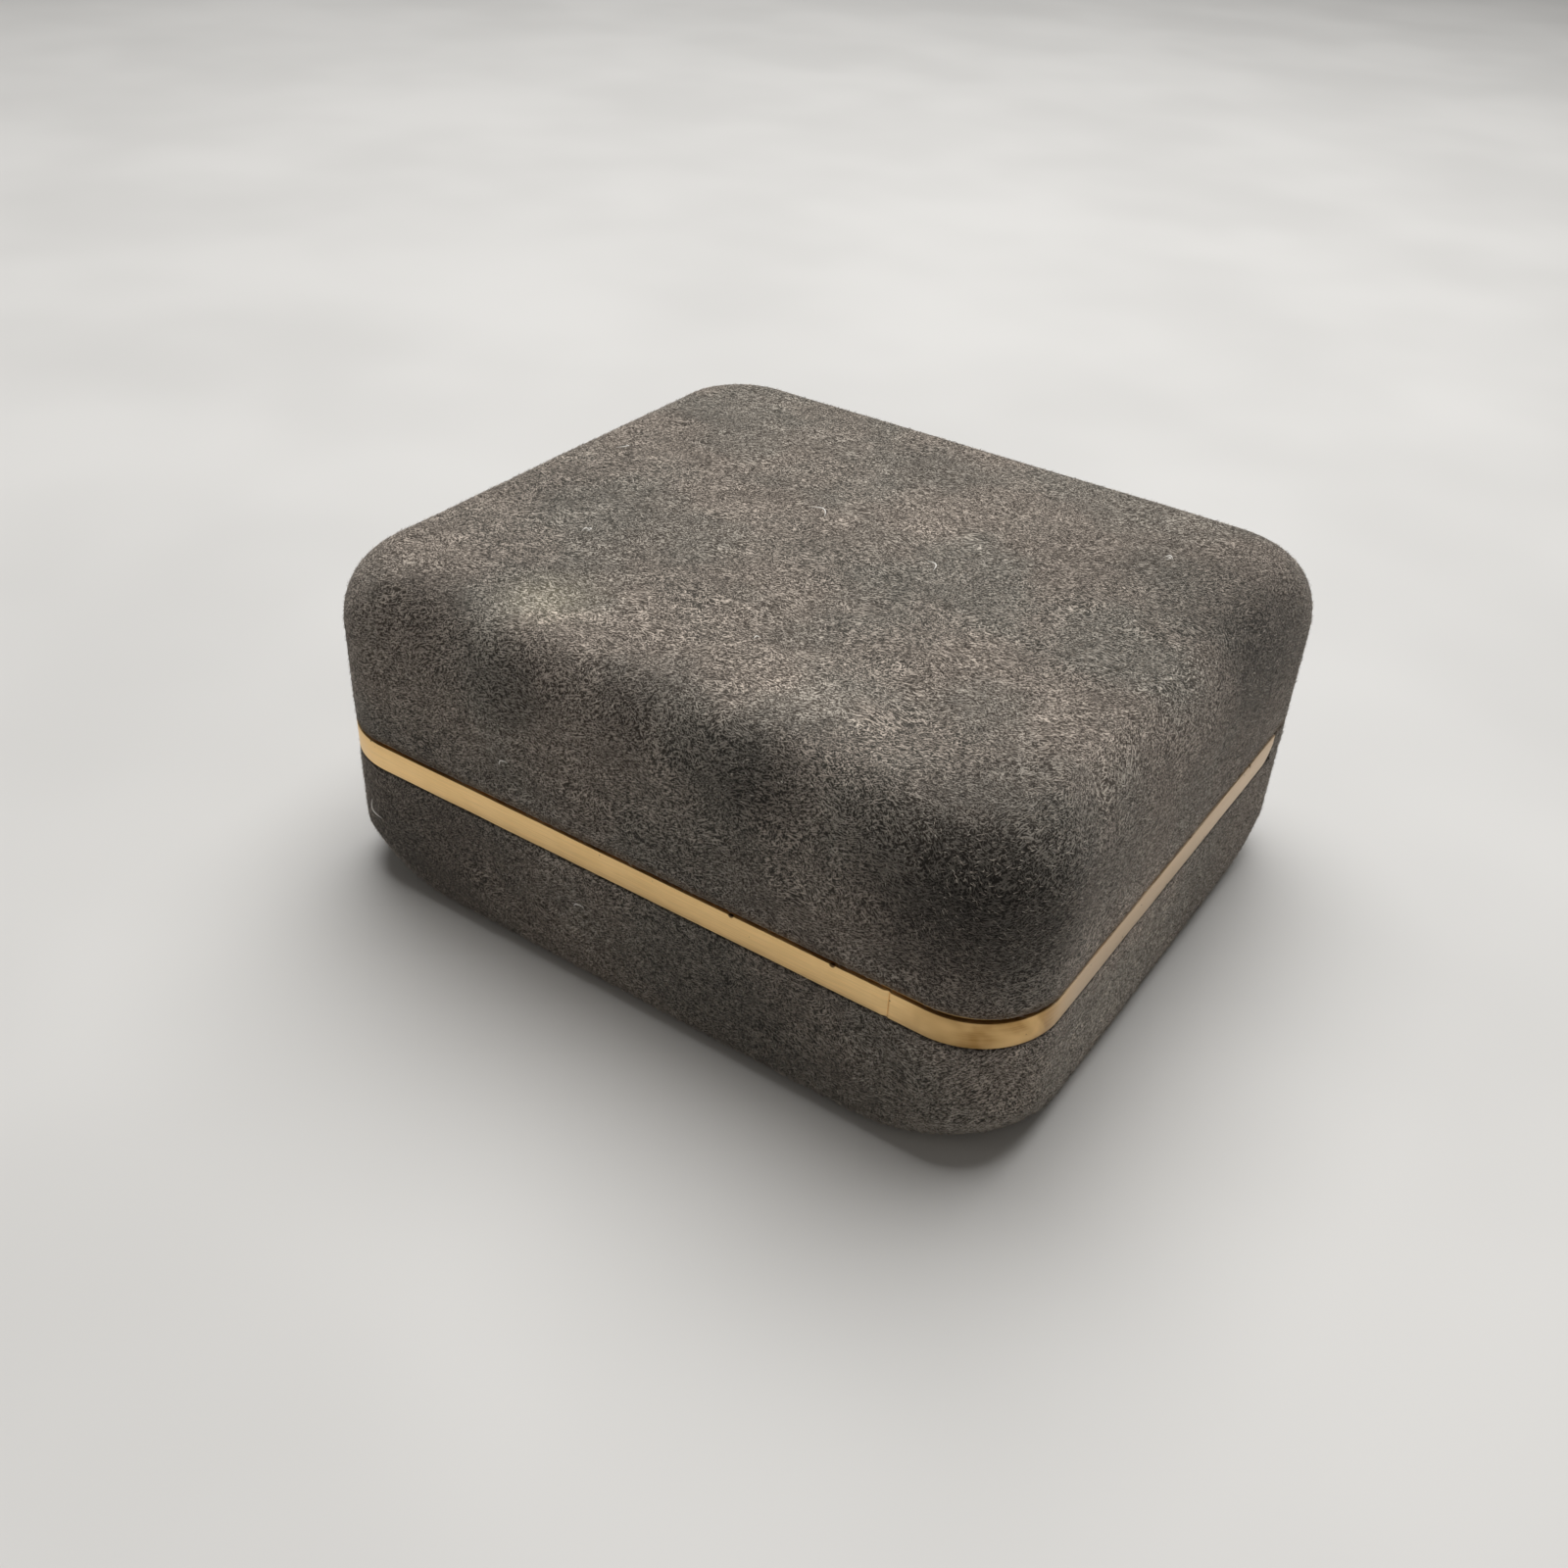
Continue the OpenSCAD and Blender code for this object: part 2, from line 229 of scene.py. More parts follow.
def nap_map(made, count, n, rows, flat_from=None):
    """UV map in millimetres that runs round the walls, and straight across the flat from one row on."""
    mesh = made.data
    co = np.empty(len(mesh.vertices) * 3)
    mesh.vertices.foreach_get("co", co)
    co = co.reshape(-1, 3) / MM
    around = wall_ring(0)
    steps = np.linalg.norm(np.roll(around, -1, 0) - around, axis=1)
    u = np.concatenate([[0], np.cumsum(steps)])
    layer = mesh.uv_layers.new(name="nap")
    loops = np.empty(len(mesh.loops), int)
    mesh.loops.foreach_get("vertex_index", loops)
    starts = np.empty(len(mesh.polygons), int)
    totals = np.empty(len(mesh.polygons), int)
    mesh.polygons.foreach_get("loop_start", starts)
    mesh.polygons.foreach_get("loop_total", totals)
    face = np.repeat(np.arange(len(starts)), totals)
    column, row = loops % n, np.minimum(loops // n, count - 1)
    lowest = np.minimum.reduceat(column, starts)[face]
    wraps = (np.maximum.reduceat(column, starts)[face] == n - 1) & (lowest == 0) & (column == 0)
    across = u[np.where(wraps, n, column)]
    uv = np.stack([across, rows[row, column]], 1)
    if flat_from is not None:
        flat = np.minimum.reduceat(row, starts)[face] >= flat_from
        uv = np.where(flat[:, None], co[loops, :2] + FLAT_SHIFT, uv)
    layer.data.foreach_set("uv", uv.ravel())


def section_lengths(levels):
    """Length along the skin from its first level, at every point of every level."""
    steps = np.linalg.norm(np.diff(np.array(levels), axis=0), axis=2)
    return np.vstack([np.zeros(len(levels[0])), np.cumsum(steps, axis=0)])


def swell(levels, first, last, height, seed):
    """Soft unevenness of the padding under the suede, on the outer levels only."""
    for k in range(first, last):
        points = levels[k]
        outward = points * (1, 1, 1.6) - (0, 0, 20)
        outward /= np.linalg.norm(outward, axis=1)[:, None]
        levels[k] = points + outward * wavy(points, 9, height, seed)[:, None]


def make_lid_suede():
    hem_r = LID_HEM_R
    hem = []
    for a in np.radians(np.linspace(180, 0, 9)):
        points = wall_ring(COVER_T / 2 * (1 - math.cos(a)))
        ahead = points[:, 1] < HINGE_Y - NOTCH_START
        uneven = np.where(ahead, wavy(level(points, 0), 4, HEM_UNEVEN, 9.3) - HEM_DROP, 0)
        hem.append(level(points, lid_edge(points) + uneven + hem_r * (1 - math.sin(a))))
    outer = hem + between(hem[-1], lid_level(0, 0), 18)
    outer += [lid_level(0, a) for a in np.radians(np.linspace(0, 90, 25)[1:])]
    flat_from = len(outer) - 1
    flat = ring(LID_EDGE_RUN, LID_TOP_R)
    for s in np.linspace(1, 0.03, 34)[1:]:
        outer.append(level(flat * s, TOP + LID_CROWN * (1 - s**4)))
    swell(outer, len(hem) + 1, len(outer), 0.09, 3.1)
    depth = COVER_T
    inner = [lid_level(depth, a) for a in np.radians([90, 72, 54, 36, 18, 0])]
    levels = inner + outer
    n = len(flat)
    verts = np.vstack(levels + [[(0, 0, TOP + LID_CROWN)], [(0, 0, TOP - depth)]])
    count = len(levels)
    faces = [*loft_faces(count, n), *fan((count - 1) * n, n, count * n), *fan(0, n, count * n + 1)]
    made = piece("lid_suede", verts, faces, "lid")
    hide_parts("lid_cover")
    nap_map(made, count, n, section_lengths(levels), flat_from + len(inner))
    first = len(inner) + len(hem) - 3
    return made, np.array(levels[first:])


def make_base_suede():
    hem_r = BASE_HEM_R
    under = [
        level(ring(PANEL_IN - 0.1, PANEL_R + 0.1), 1.05),
        level(ring(PANEL_IN - 0.1, PANEL_R + 0.1), 0.6),
        level(ring(PANEL_IN - 0.25, PANEL_R + 0.2), 0.4),
        level(ring(PANEL_IN - 0.5, PANEL_R + 0.4), BASE_FLOOR),
        level(ring(2.6, 12.8), BASE_FLOOR),
    ]
    outer = under + [base_level(0, a) for a in np.radians(np.linspace(90, 0, 19))]
    wall = wall_ring(0)
    outer += between(outer[-1], level(wall, base_top(wall) - hem_r), 18)
    wall_rows = len(outer)
    for a in np.radians([22, 45, 67, 90]):
        points = wall_ring(hem_r * (1 - math.cos(a)))
        outer.append(level(points, base_top(points) - hem_r * (1 - math.sin(a))))
    folded = (wall[:, 1] > BAND_END) & ~((np.abs(wall[:, 0]) < ZONE_HALF) & (wall[:, 1] > HINGE_Y - 1))
    reach = np.where(folded, LINING_IN, COVER_T)
    for t, drop in ((0.3, 0), (0.6, 0), (0.92, 0), (1, 0.12), (1, 0.36)):
        depth = hem_r + (reach - hem_r) * t
        points = ring_at(depth)
        outer.append(level(points, base_top(points) - drop))
    inside = wall_ring(COVER_T)
    outer.append(level(inside, base_top(inside) - LEDGE_T))
    swell(outer, len(under) + 2, wall_rows - 4, 0.07, 5.3)
    inner = [base_level(COVER_T, a) for a in np.radians([0, 22, 45, 67, 90])]
    levels = outer + inner
    n = len(wall)
    faces = loft_faces(len(levels), n, closed=True)
    made = piece("base_suede", np.vstack(levels), faces, "base")
    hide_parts("base_cover")
    nap_map(made, len(levels), n, section_lengths(levels) + BASE_SHIFT)
    return made, np.array(outer[len(under):wall_rows + 3])


def ring_at(depths):
    """Wall ring whose depth differs from point to point."""
    shallow, deep = wall_ring(0), wall_ring(3)
    return shallow + (deep - shallow) * (np.asarray(depths) / 3)[:, None]


def make_panel():
    """Suede-covered card let into the underside, with a rolled edge."""
    rise, top = panel_low[2], panel_high[2]
    profile = [(0.15, top), (0, top - 0.3), (0, rise + 0.35), (0.1, rise + 0.12), (0.35, rise), (0.9, rise)]
    levels = [level(ring(PANEL_IN + d, PANEL_R - d), z) for d, z in profile]
    flat = ring(PANEL_IN + 0.9, PANEL_R - 0.9)
    levels += [level(flat * s, rise) for s in np.linspace(1, 0.03, 16)[1:]]
    n, count = len(flat), len(levels)
    verts = np.vstack(levels + [[(0, 0, rise)], [(0, 0, top)]])
    faces = [*loft_faces(count, n), *fan((count - 1) * n, n, count * n), *fan(0, n, count * n + 1)]
    made = piece("underside_panel", verts, faces, "base", smooth_angle=50)
    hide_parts("bottom_panel")
    return made


def fibres(name, grid, count, body, materials, near_edge):
    """Short closed spikes that lie over a skin's outer levels, in several plain tones."""
    a = grid[:-1]
    b = grid[1:]
    c = np.roll(grid, -1, 1)
    quads = np.stack([a, c[:-1], c[1:], b], 2).reshape(-1, 4, 3)
    normal = np.cross(quads[:, 2] - quads[:, 0], quads[:, 3] - quads[:, 1])
    area = np.linalg.norm(normal, axis=1)
    normal /= np.maximum(area, 1e-9)[:, None]
    picked = random.choice(len(quads), count, p=area / area.sum())
    s, t = random.random((2, count, 1))
    q = quads[picked]
    place = (q[:, 0] * (1 - s) + q[:, 1] * s) * (1 - t) + (q[:, 3] * (1 - s) + q[:, 2] * s) * t
    up = normal[picked]
    out = place - MIDDLE
    up *= np.sign(np.sum(up * out, 1))[:, None]
    flow = np.stack([
        np.ones(count) * 0.9 + 0.5 * np.sin(place[:, 1] / 7 + 0.8),
        0.55 + 0.6 * np.sin(place[:, 0] / 9 + place[:, 2] / 6),
        -0.25 + 0.5 * np.sin(place[:, 0] / 5),
    ], 1)
    flow += random.normal(0, 0.75, (count, 3))
    flow -= up * np.sum(flow * up, 1)[:, None]
    flow /= np.linalg.norm(flow, axis=1)[:, None]
    lift = np.radians(random.uniform(8, 34, (count, 1)))
    length = random.uniform(0.26, 0.52, (count, 1))
    along = flow * np.cos(lift) + up * np.sin(lift)
    across = np.cross(up, flow)
    tip = place + along * length
    keep = near_edge(tip)
    place, up, along, across, tip, length = (v[keep] for v in (place, up, along, across, tip, length))
    m = len(place)
    w = random.uniform(0.02, 0.032, (m, 1))
    root = place - up * 0.015
    verts = np.stack([root + across * w, root - across * w, root + up * w * 1.3 - along * 0.02, tip], 1)
    base = np.arange(m)[:, None] * 4
    faces = np.concatenate([base + f for f in ((0, 1, 3), (1, 2, 3), (2, 0, 3), (2, 1, 0))])
    mesh = bpy.data.meshes.new(name)
    mesh.from_pydata((verts.reshape(-1, 3) * MM).tolist(), [], faces.tolist())
    made = bpy.data.objects.new(name, mesh)
    bpy.context.scene.collection.objects.link(made)
    for material in materials:
        mesh.materials.append(material)
    tone = random.choice(len(materials), m, p=(0.36, 0.34, 0.2, 0.1))
    mesh.polygons.foreach_set("material_index", np.tile(tone, 4))
    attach(made, body)
    return made


# Stray hairs and lint: start, direction, side it bends to, length and bend, in millimetres
ON_TOP = TOP + LID_CROWN + 0.24
STRAY = [
    ("lid", (-20.7, -13.1, ON_TOP), (0.8, 0.6, 0), (-0.6, 0.8, 0), 0.8, 0.4),
    ("lid", (-20.3, -12.8, ON_TOP), (-0.5, 0.85, 0), (0.85, 0.5, 0), 0.7, 0.35),
    ("lid", (3.4, -19.4, ON_TOP), (0.5, 0.86, 0), (-0.86, 0.5, 0), 0.7, 0.2),
    ("lid", (24.6, 17.1, ON_TOP), (1, 0.1, 0), (0, 1, 0), 0.9, 0.5),
    ("lid", (24.8, 17.4, ON_TOP), (0.2, -1, 0), (1, 0.2, 0), 0.6, 0.4),
    ("lid", (-7.0, 5.0, ON_TOP), (0.9, -0.4, 0), (0.4, 0.9, 0), 2.4, 0.7),
    ("lid", (9.0, 1.0, ON_TOP), (-0.7, 0.7, 0), (0.7, 0.7, 0), 1.9, 0.5),
    ("lid", (-30.5, 4.0, ON_TOP - 0.1), (0.4, 0.9, 0), (0.9, -0.4, 0), 1.5, 0.4),
    ("base", (-31.5, -32.5, 9.5), (0.5, 0, -0.86), (-0.86, 0, -0.5), 2.2, 0.6),
    ("base", (-6.0, -32.6, 9.0), (0.9, 0, 0.3), (-0.3, 0, 0.9), 1.3, 0.4),
    ("lid", (-14.0, -32.6, 21.0), (0.8, 0, 0.5), (-0.5, 0, 0.8), 1.2, 0.4),
]


def make_strays(body, material):
    """Pale hairs and lint caught in the nap: thin bent tubes, pointed at both ends."""
    verts, faces = [], []
    steps, sides = 8, 5
    for rides, start, along, aside, length, bend in STRAY:
        if rides != body:
            continue
        start, along, aside = (np.array(v, float) for v in (start, along, aside))
        out = np.cross(along, aside)
        out *= np.sign(out @ (start - MIDDLE)) / np.linalg.norm(out)
        first = len(verts)
        for t in np.linspace(0, 1, steps):
            arch = math.sin(math.pi * t)
            middle = start + along * length * t + aside * bend * arch + out * 0.12 * arch
            thick = 0.024 + 0.05 * arch
            for a in np.linspace(0, 2 * math.pi, sides, endpoint=False):
                verts.append(middle + thick * (aside * math.cos(a) + out * math.sin(a)))
        faces += (loft_faces(steps, sides) + first).tolist()
        faces += [[first + i for i in range(sides)], [first + (steps - 1) * sides + i for i in range(sides)]]
    made = piece(f"{body}_stray_hairs", verts, faces, body)
    made.data.materials.append(material)


# ---------------------------------------------------------------- gold band
def band_height(points):
    """Lower edge of the band, which curves up towards its two rear ends."""
    near = np.clip((points[:, 1] - (BAND_END - BAND_TAPER)) / BAND_TAPER, 0, 1)
    return BAND_BOTTOM + BAND_TAPER_RISE * near**2


def make_band():
    """The band with its ledge and lip, swept round the front and the sides."""
    e = BAND_EDGE
    wall = wall_ring(0)
    order = np.argsort((np.arctan2(wall[:, 1], wall[:, 0]) + 1.5 * math.pi) % (2 * math.pi), kind="stable")
    inside = [i for i in order if wall[i, 1] <= BAND_END - 0.02 or wall[i, 1] < 0]
    low = band_height(wall)
    rough = wavy(level(wall, 0), 6, 0.05, 7.7)
    slit = (np.abs(wall[:, 0] - BUTT_X) < BUTT_W / 2 + 0.03) & (wall[:, 1] < 0)
    levels = []
    for depth, z in (
        (COVER_T, low), (e, low), (0.03, low + 0.03),
        (0, low + e), (0, low + 0.9), (0, low + 1.3), (0, SEAM - e),
        (0.03, SEAM - 0.03), (e, SEAM), (LIP_IN - 0.15, SEAM),
        (LIP_IN, SEAM + 0.12), (LIP_IN, LIP_TOP - 0.12),
        (LIP_IN + 0.08, LIP_TOP), (LIP_IN + LIP_T - 0.08, LIP_TOP), (LIP_IN + LIP_T, LIP_TOP - 0.12),
        (LIP_IN + LIP_T, SEAM - LEDGE_T), (COVER_T, SEAM - LEDGE_T),
    ):
        shift = rough if depth < 0.5 else 0
        depths = depth + np.clip(shift, 0, None)
        depths = np.where(slit & (depth < 0.3), BUTT_DEPTH, depths)
        levels.append(level(ring_at(depths), z))
    n = len(inside)
    rows = np.array([[lv[i] for i in inside] for lv in levels])
    count = len(levels)
    verts = rows.reshape(-1, 3)
    faces = []
    for k in range(count):
        for i in range(n - 1):
            j = (k + 1) % count
            faces.append((k * n + i, k * n + i + 1, j * n + i + 1, j * n + i))
    faces += [[k * n for k in range(count)], [k * n + n - 1 for k in reversed(range(count))]]
    made = piece("gold_band", verts, faces, "base", smooth_angle=32)
    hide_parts("trim_band")
    return made


# ---------------------------------------------------------------- inside
def make_strip(name, body, node, low, high):
    """Satin strip round an inside wall, closed, with soft upright gathers."""
    top = ring_at(np.full(len(wall_ring(0)), LINING_OUT))
    n = len(top)
    folds = 0.07 * np.sin(np.arange(n) * 0.9) + 0.05 * np.sin(np.arange(n) * 0.37)
    levels = []
    face = [(LINING_IN, t) for t in (0.03, 0.25, 0.5, 0.75, 0.97)]
    profile = [(LINING_OUT, 0), (LINING_IN - 0.15, 0), *face, (LINING_IN - 0.15, 1), (LINING_OUT, 1)]
    for depth, t in profile:
        points = ring_at(np.full(n, depth) - (np.abs(folds) if depth == LINING_IN else 0))
        levels.append(level(points, low(points) + (high(points) - low(points)) * t))
    made = piece(name, np.vstack(levels), loft_faces(len(levels), n, closed=True), body)
    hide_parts(node)
    return made


def in_zone(points):
    return (np.abs(points[:, 0]) < ZONE_HALF) & (points[:, 1] > 0)


def make_linings():
    floor = base_lining_low[2]
    ceiling = lid_lining_high[2] - 0.2
    cut_low = leaf_low[2] - 0.4

    def base_low_edge(points):
        return np.full(len(points), floor)

    def lid_high_edge(points):
        return np.full(len(points), ceiling)

    def base_high_edge(points):
        return np.where(in_zone(points), cut_low, base_lining_high[2])

    def lid_low_edge(points):
        clear = np.maximum(lid_lining_low[2], lid_edge(points) + 0.05)
        return np.where(in_zone(points), lid_leaf_high[2] + 0.4, clear)

    make_strip("base_lining_satin", "base", "base_lining", base_low_edge, base_high_edge)
    make_strip("lid_lining_satin", "lid", "lid_lining", lid_low_edge, lid_high_edge)


PLATFORM_SHARES = [np.linspace(0, 1, k)[1:-1] for k in (70, 60, 70, 60)]


def make_platform():
    """Velvet over the platform card, rolled down at the rim and into the window of the rolls."""
    top, foot = platform_high[2], platform_low[2]
    centre = (0, (platform_low[1] + platform_high[1]) / 2)
    half = ((platform_high - platform_low) / 2)[:2]
    window = (23.0, 12.1)

    def rim(inset, z):
        return level(ring(inset, 4.6 - inset, *half, PLATFORM_SHARES, 8, centre), z)

    def sill(out, z):
        return level(ring(-out, 0.5 + out, *window, PLATFORM_SHARES, 8, centre), z)

    levels = [rim(0.55, foot), rim(0, foot), rim(0, foot + 2), rim(0, top - 0.8), rim(0.1, top - 0.4)]
    levels += [rim(0.35, top - 0.1), rim(0.8, top)]
    levels += between(levels[-1], sill(0.7, top), 14)
    levels += [sill(0.3, top - 0.08), sill(0.08, top - 0.32), sill(0, top - 0.8)]
    levels += [sill(0, top - 3), sill(0.5, top - 3)]
    levels += [sill(0.55, top - 0.9), sill(0.9, top - 0.58), rim(0.95, top - 0.58)]
    for k in range(8, 20):
        levels[k][:, 2] += wavy(levels[k], 7, 0.08, 1.7)
    n = len(levels[0])
    faces = loft_faces(len(levels), n, closed=True)
    made = piece("velvet_platform", np.vstack(levels), faces, "base")
    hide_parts("insert_cover")
    return made


def make_roll(name, node):
    """Plush roll: a soft rounded section along X whose ends are tucked in."""
    low, high = box_of(node)
    steps, around = 90, 48
    centre, half = (low + high) / 2, (high - low) / 2
    levels = []
    for t in np.sin(np.linspace(-math.pi / 2, math.pi / 2, steps)):
        end = (1 - abs(t) ** 14) ** (1 / 6) if abs(t) < 1 else 0.0
        end = max(end, 0.05)
        row = []
        for a in np.linspace(0, 2 * math.pi, around, endpoint=False):
            c, s = math.cos(a), math.sin(a)
            power = 2 / 2.7 if s > 0 else 2 / 5
            y = math.copysign(abs(c) ** power, c) * half[1]
            z = math.copysign(abs(s) ** power, s) * half[2]
            row.append((centre[0] + t * half[0], centre[1] + y * end * 0.995, centre[2] + z * end))
        levels.append(np.array(row))
    verts = np.vstack(levels)
    pull = wavy(verts, 3.2, 0.09, 2.9)
    verts[:, 2] -= np.abs(pull)
    count = len(levels)
    ends = [list(range(around)), [(count - 1) * around + i for i in range(around)]]
    faces = [*loft_faces(count, around), *ends]
    made = piece(name, verts, faces, "base", smooth_angle=70)
    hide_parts(node)
    return made


def make_block(name, node, body, bevel, swollen=0.25):
    """Hidden soft filling: a block with soft edges and slightly bulging sides."""
    low, high = box_of(node)
    bm = bmesh.new()
    bmesh.ops.create_cube(bm, size=2)
    bmesh.ops.subdivide_edges(bm, edges=bm.edges, cuts=11, use_grid_fill=True)
    centre, half = (low + high) / 2, (high - low) / 2
    for v in bm.verts:
        p = np.array(v.co)
        fade = [1 - min(1, abs(c)) ** 4 for c in p]
        share = [fade[(k + 1) % 3] * fade[(k + 2) % 3] for k in range(3)]
        inner = half - bevel
        q = np.clip(p * half, -inner, inner)
        d = p * half - q
        length = np.linalg.norm(d)
        if length > 1e-9:
            d = d / max(np.abs(d)) * min(bevel, max(np.abs(d)))
            d = d * min(1, bevel / np.linalg.norm(d))
        v.co = Vector(centre + q + d - np.sign(p) * swollen * (1 - np.array(share)) * 0.5)
    verts = [tuple(v.co) for v in bm.verts]
    faces = [[v.index for v in f.verts] for f in bm.faces]
    bm.free()
    made = piece(name, verts, faces, body)
    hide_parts(node)
    return made


# Height the cushion is made short of its CAD box, for the cloth to move in
PAD_ROOM = 0.8


def make_pad():
    """Satin cushion in the lid: a crowned pad that pulls in towards its edge."""
    low, high = pad_low, pad_high
    centre = ((low + high) / 2)[:2]
    half = ((high - low) / 2)[:2]
    thick = high[2] - low[2] - PAD_ROOM
    r = 5.4
    levels = []
    flat = ring(0, r, *half, PLATFORM_SHARES, 12, centre)
    edge = [
        (0.9, 0), (0.35, 0.1), (0.05, 0.33), (0, 0.6), (0.12, 0.9),
        (0.5, 1.22), (1.2, 1.5), (2.2, 1.72), (3.6, 1.9),
    ]
    for d, drop in edge:
        levels.append(level(ring(d, r - min(d, r - 1.2), *half, PLATFORM_SHARES, 12, centre), high[2] - drop))
    last = levels[-1]
    for s in np.linspace(1, 0.03, 40)[1:]:
        z = last[0, 2] - (thick - 1.9) * (1 - s**2.2)
        levels.append(np.column_stack([last[:, :2] * s, np.full(len(last), z)]))
    verts = np.vstack(levels + [[(0, 0, high[2] - thick)], [(0, 0, high[2])]])
    verts[:, 2] += wavy(verts * (1, 1, 0), 8, 0.1, 4.4) * (verts[:, 2] < high[2] - 1.2)
    n, count = len(flat), len(levels)
    faces = [*loft_faces(count, n), *fan((count - 1) * n, n, count * n), *fan(0, n, count * n + 1)]
    made = piece("satin_cushion", verts, faces, "lid")
    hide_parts("lid_pad")
    return made


# ---------------------------------------------------------------- filling of the padded pieces
SIM_SCALE = 10.0
SIM_FRAMES = 20
PAD_HELD = 0.9
ROLL_HELD_SHARE = 0.45


def points_of(mesh):
    flat = np.empty(len(mesh.vertices) * 3)
    mesh.vertices.foreach_get("co", flat)
    return flat.reshape(-1, 3)


def evaluated_mesh(obj):
    graph = bpy.context.evaluated_depsgraph_get()
    return bpy.data.meshes.new_from_object(obj.evaluated_get(graph))


def fill_with_cloth(obj, node, held, voxel, cap, spare_cloth, pressure):
    """Swells a padded piece as pressurised cloth, ten times its size, within a cap and its CAD box (mm)."""
    scene = bpy.context.scene
    big = obj.data.copy()
    big.transform(Matrix.Scale(SIM_SCALE, 4))
    twin = bpy.data.objects.new("twin", big)
    scene.collection.objects.link(twin)
    remesh = twin.modifiers.new("remesh", "REMESH")
    remesh.mode = "VOXEL"
    remesh.voxel_size = voxel * MM * SIM_SCALE
    start = evaluated_mesh(twin)
    twin.modifiers.clear()
    twin.data = start
    before = points_of(start)
    group = twin.vertex_groups.new(name="held")
    group.add(np.flatnonzero(held(before / MM / SIM_SCALE)).tolist(), 1.0, "REPLACE")
    cloth = twin.modifiers.new("cloth", "CLOTH")
    cloth.settings.quality = 6
    cloth.settings.mass = 0.3
    cloth.settings.tension_stiffness = 12
    cloth.settings.compression_stiffness = 12
    cloth.settings.bending_stiffness = 0.4
    cloth.settings.shrink_min = -spare_cloth
    cloth.settings.use_pressure = True
    cloth.settings.uniform_pressure_force = pressure
    cloth.settings.vertex_group_mass = "held"
    cloth.settings.effector_weights.gravity = 0
    cloth.point_cache.frame_end = SIM_FRAMES
    for frame_number in range(1, SIM_FRAMES + 1):
        scene.frame_set(frame_number)
    moved = points_of(evaluated_mesh(twin)) - before
    far = np.linalg.norm(moved, axis=1)[:, None] / MM / SIM_SCALE
    after = (before + moved * np.minimum(1, cap / np.maximum(far, 1e-6))) / SIM_SCALE
    low, high = box_of(node)
    free = after
    after = np.clip(free, low * MM, high * MM)
    final = start.copy()
    final.name = obj.data.name
    final.vertices.foreach_set("co", after.ravel())
    final.polygons.foreach_set("use_smooth", [True] * len(final.polygons))
    obj.data = final
    bpy.data.objects.remove(twin)
    scene.frame_set(1)
    capped = float((far > cap).mean())
    boxed = float((np.abs(free - after).max(axis=1) > 1e-6).mean())
    moves = f"mean {far.mean():.2f} largest {far.max():.2f} mm"
    print(f"CLOTH {obj.name} {moves}, capped {capped:.2f}, boxed {boxed:.2f}")
    finer = obj.modifiers.new("finer", "SUBSURF")
    finer.levels = 1
    finer.render_levels = 1


def fill_padding():
    """The cushion is held at the card behind it, and each roll by its lower part."""
    top_held = pad_high[2] - PAD_HELD
    fill_with_cloth(
        cushion, "lid_pad", lambda p: p[:, 2] > top_held,
        voxel=0.75, cap=0.9, spare_cloth=0.015, pressure=0.1,
    )
    for roll, node in ((front_roll, "ring_roll_front"), (rear_roll, "ring_roll_rear")):
        low, high = box_of(node)
        line = low[2] + ROLL_HELD_SHARE * (high[2] - low[2])
        fill_with_cloth(
            roll, node, lambda p, line=line: p[:, 2] < line,
            voxel=0.6, cap=0.5, spare_cloth=0.004, pressure=0.4,
        )


# ---------------------------------------------------------------- materials
def new_material(name):
    material = bpy.data.materials.new(name)
    material.use_nodes = True
    tree = material.node_tree
    return material, tree, tree.nodes["Principled BSDF"]


def add(tree, kind, inputs=(), **properties):
    """New node with its properties set and its inputs set or linked."""
    made = tree.nodes.new("ShaderNode" + kind)
    for key, value in properties.items():
        setattr(made, key, value)
    for key, value in dict(inputs).items():
        if isinstance(value, bpy.types.NodeSocket):
            tree.links.new(value, made.inputs[key])
        else:
            made.inputs[key].default_value = value
    return made


def maths(tree, operation, a, b=0.0):
    return add(tree, "Math", {0: a, 1: b}, operation=operation).outputs[0]


def remap(tree, value, low, high, to_low=0.0, to_high=1.0):
    inputs = {"Value": value, "From Min": low, "From Max": high, "To Min": to_low, "To Max": to_high}
    return add(tree, "MapRange", inputs, interpolation_type="SMOOTHSTEP").outputs["Result"]


def mix(tree, share, a, b, blend="MIX"):
    made = add(tree, "Mix", {0: share, 6: a, 7: b}, data_type="RGBA", blend_type=blend)
    return made.outputs[2]


def place_mm(tree):
    """Coordinates on the piece itself, in millimetres."""
    own = add(tree, "TexCoord").outputs["Object"]
    return add(tree, "VectorMath", {0: own, "Scale": 1000.0}, operation="SCALE").outputs[0]


def cloud(tree, vector, size, detail=2.0, roughness=0.5, distortion=0.0):
    """Noise whose features are about size millimetres across."""
    inputs = {"Vector": vector, "Scale": 1 / size, "Detail": detail}
    inputs |= {"Roughness": roughness, "Distortion": distortion}
    return add(tree, "TexNoise", inputs).outputs[0]


def distance(tree, at, place):
    return add(tree, "VectorMath", {0: at, 1: place}, operation="DISTANCE").outputs["Value"]


def bump(tree, height, strength, distance_mm, normal=None):
    inputs = {"Height": height, "Strength": strength, "Distance": distance_mm * MM}
    if normal is not None:
        inputs["Normal"] = normal
    return add(tree, "Bump", inputs).outputs[0]


